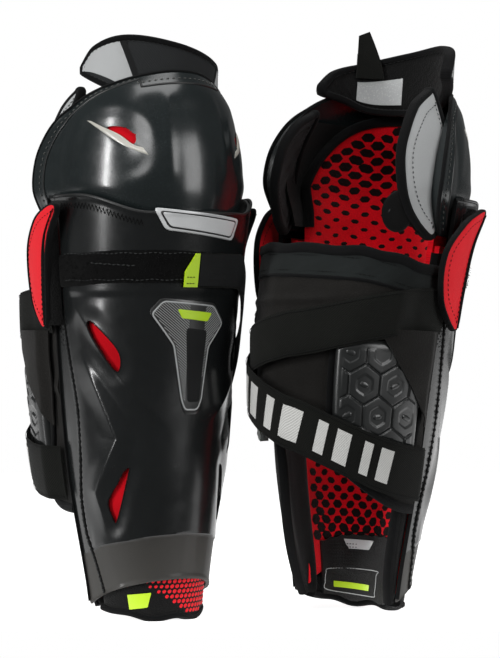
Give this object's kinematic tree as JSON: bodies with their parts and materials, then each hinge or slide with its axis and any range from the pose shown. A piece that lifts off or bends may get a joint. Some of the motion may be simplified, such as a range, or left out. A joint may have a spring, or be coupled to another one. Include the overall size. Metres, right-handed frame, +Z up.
{
  "type": "ice hockey shin guards",
  "caption": "Hard-shelled ice hockey shin guards with knee caps, thigh guards, side wings, padded liners and calf wraps with straps.",
  "frame": {"origin": "on the first guard's long axis at the height of its lowest edge, in the middle of its leg opening", "axes": "+Z up along the first guard's shin, -Y towards the viewer in front of the pair, +X towards the second guard"},
  "size_m": [0.3891, 0.2112, 0.4889],
  "materials": {
    "shell": "glossy near-black moulded plastic",
    "foam": "firm red foam",
    "liner": "red knit with a black printed pattern",
    "tongue": "black abrasion-resistant fabric over foam",
    "webbing": "black elastic webbing and hook-and-loop",
    "silver_plate": "silver grey flexible plastic",
    "badge": "dark printed film with a light outline",
    "silver_wing": "silver grey coated fabric with black binding",
    "red_wing": "red coated fabric with black binding",
    "lining": "black brushed mesh",
    "mesh": "dark stretch mesh",
    "band": "slate grey knit band",
    "calf_pad": "dark moulded pad with a hexagon relief",
    "lime_tab": "lime green plastic",
    "pale_sleeve": "pale grey elastic tab"
  },
  "bodies": {
    "a_shin": {"a_shin_shell": "shell", "a_shin_foam": "foam", "a_shin_liner": "liner", "a_ankle_tongue": "tongue", "a_scuff_patch": "tongue", "a_loop_band": "webbing", "a_name_plate": "silver_plate", "a_shin_badge": "badge"},
    "a_knee": {"a_knee_shell": "shell", "a_knee_foam": "foam", "a_knee_liner": "liner"},
    "a_thigh": {"a_thigh_cover": "silver_wing", "a_thigh_pad": "lining", "a_thigh_tab": "webbing"},
    "a_knee_flank_outer": {"a_knee_wing_outer": "silver_wing"},
    "a_side_flank_outer": {"a_side_wing_outer": "red_wing"},
    "a_knee_flank_inner": {"a_knee_wing_inner": "silver_wing"},
    "a_side_flank_inner": {"a_side_wing_inner": "red_wing"},
    "a_calf": {"a_calf_wrap": "mesh", "a_calf_wrap_band": "band", "a_calf_pad": "calf_pad", "a_upper_strap": "webbing", "a_lower_strap": "webbing", "a_upper_sleeve": "pale_sleeve", "a_lower_sleeve": "pale_sleeve"},
    "a_upper_end": {"a_upper_strap_end": "webbing"},
    "a_lower_end": {"a_lower_strap_end": "webbing", "a_pull_tab": "lime_tab"},
    "b_shin": {"b_shin_shell": "shell", "b_shin_foam": "foam", "b_shin_liner": "liner", "b_ankle_tongue": "tongue", "b_scuff_patch": "tongue", "b_loop_band": "webbing", "b_name_plate": "silver_plate", "b_shin_badge": "badge"},
    "b_knee": {"b_knee_shell": "shell", "b_knee_foam": "foam", "b_knee_liner": "liner"},
    "b_thigh": {"b_thigh_cover": "silver_wing", "b_thigh_pad": "lining", "b_thigh_tab": "webbing"},
    "b_knee_flank_outer": {"b_knee_wing_outer": "silver_wing"},
    "b_side_flank_outer": {"b_side_wing_outer": "red_wing"},
    "b_knee_flank_inner": {"b_knee_wing_inner": "silver_wing"},
    "b_side_flank_inner": {"b_side_wing_inner": "red_wing"},
    "b_calf": {"b_calf_wrap": "mesh", "b_calf_wrap_band": "band", "b_calf_pad": "calf_pad", "b_upper_strap": "webbing", "b_lower_strap": "webbing", "b_upper_sleeve": "pale_sleeve", "b_lower_sleeve": "pale_sleeve"},
    "b_upper_end": {"b_upper_strap_end": "webbing"},
    "b_lower_end": {"b_lower_strap_end": "webbing", "b_pull_tab": "lime_tab"}
  },
  "joints": [
    {"name": "a_knee_flex", "type": "hinge", "parent": "a_shin", "child": "a_knee", "pos_m": [0, 0, 0.345], "axis": [-0.8387, -0.5446, 0], "range_deg": [0, 20]},
    {"name": "a_thigh_fold", "type": "hinge", "parent": "a_knee", "child": "a_thigh", "pos_m": [0.03159, -0.04864, 0.432], "axis": [-0.8387, -0.5446, 0], "range_deg": [-2, 25]},
    {"name": "a_knee_wing_outer_flex", "type": "hinge", "parent": "a_knee", "child": "a_knee_flank_outer", "pos_m": [-0.06542, -0.04248, 0.36], "axis": [0, 0, 1], "range_deg": [0, 12]},
    {"name": "a_knee_wing_inner_flex", "type": "hinge", "parent": "a_knee", "child": "a_knee_flank_inner", "pos_m": [0.06542, 0.04248, 0.36], "axis": [0, 0, -1], "range_deg": [0, 12]},
    {"name": "a_side_wing_outer_flex", "type": "hinge", "parent": "a_shin", "child": "a_side_flank_outer", "pos_m": [-0.06819, -0.06575, 0.29], "axis": [0, 0, 1], "range_deg": [0, 12]},
    {"name": "a_side_wing_inner_flex", "type": "hinge", "parent": "a_shin", "child": "a_side_flank_inner", "pos_m": [0.0878, 0.03556, 0.29], "axis": [0, 0, -1], "range_deg": [0, 12]},
    {"name": "a_calf_wrap_open", "type": "hinge", "parent": "a_shin", "child": "a_calf", "pos_m": [-0.05913, -0.0384, 0.17], "axis": [-0.0693, -0.045, 0.9966], "range_deg": [0, 7]},
    {"name": "a_upper_end_peel", "type": "hinge", "parent": "a_calf", "child": "a_upper_end", "pos_m": [0.06319, 0.04223, 0.201], "axis": [0.0693, 0.045, 0.9966], "range_deg": [0, 9.6]},
    {"name": "a_lower_end_peel", "type": "hinge", "parent": "a_calf", "child": "a_lower_end", "pos_m": [0.06319, 0.04223, 0.195], "axis": [0.0693, 0.045, 0.9966], "range_deg": [0, 9.6]},
    {"name": "b_knee_flex", "type": "hinge", "parent": "b_shin", "child": "b_knee", "pos_m": [0.18966, 0, 0.34732], "axis": [0.837, -0.5446, -0.0527], "range_deg": [0, 20]},
    {"name": "b_thigh_fold", "type": "hinge", "parent": "b_knee", "child": "b_thigh", "pos_m": [0.22665, 0.04864, 0.43216], "axis": [0.837, -0.5446, -0.0527], "range_deg": [-2, 25]},
    {"name": "b_knee_wing_outer_flex", "type": "hinge", "parent": "b_knee", "child": "b_knee_flank_outer", "pos_m": [0.25589, -0.04248, 0.35818], "axis": [0.0628, 0, 0.998], "range_deg": [0, 12]},
    {"name": "b_knee_wing_inner_flex", "type": "hinge", "parent": "b_knee", "child": "b_knee_flank_inner", "pos_m": [0.12532, 0.04248, 0.3664], "axis": [-0.0628, 0, -0.998], "range_deg": [0, 12]},
    {"name": "b_side_wing_outer_flex", "type": "hinge", "parent": "b_shin", "child": "b_side_flank_outer", "pos_m": [0.27384, -0.03556, 0.28691], "axis": [0.0628, 0, 0.998], "range_deg": [0, 12]},
    {"name": "b_side_wing_inner_flex", "type": "hinge", "parent": "b_shin", "child": "b_side_flank_inner", "pos_m": [0.11815, 0.06575, 0.29671], "axis": [-0.0628, 0, -0.998], "range_deg": [0, 12]},
    {"name": "b_calf_wrap_open", "type": "hinge", "parent": "b_shin", "child": "b_calf", "pos_m": [0.23768, -0.0384, 0.16895], "axis": [0.1318, -0.045, 0.9903], "range_deg": [0, 7]},
    {"name": "b_upper_end_peel", "type": "hinge", "parent": "b_calf", "child": "b_upper_end", "pos_m": [0.11646, 0.04055, 0.20764], "axis": [-0.0066, 0.045, 0.999], "range_deg": [0, 9.6]},
    {"name": "b_lower_end_peel", "type": "hinge", "parent": "b_calf", "child": "b_lower_end", "pos_m": [0.11609, 0.04055, 0.20165], "axis": [-0.0066, 0.045, 0.999], "range_deg": [0, 9.6]},
    {"name": "b_guard_aside", "type": "slide", "parent": "a_shin", "child": "b_shin", "axis": [1, 0, 0], "range_m": [0, 0.15]}
  ],
  "couplings": [
    {"joint": "a_upper_end_peel", "follows": "a_calf_wrap_open", "ratio": 1.3},
    {"joint": "a_lower_end_peel", "follows": "a_calf_wrap_open", "ratio": 1.3},
    {"joint": "b_upper_end_peel", "follows": "b_calf_wrap_open", "ratio": 1.3},
    {"joint": "b_lower_end_peel", "follows": "b_calf_wrap_open", "ratio": 1.3}
  ]
}
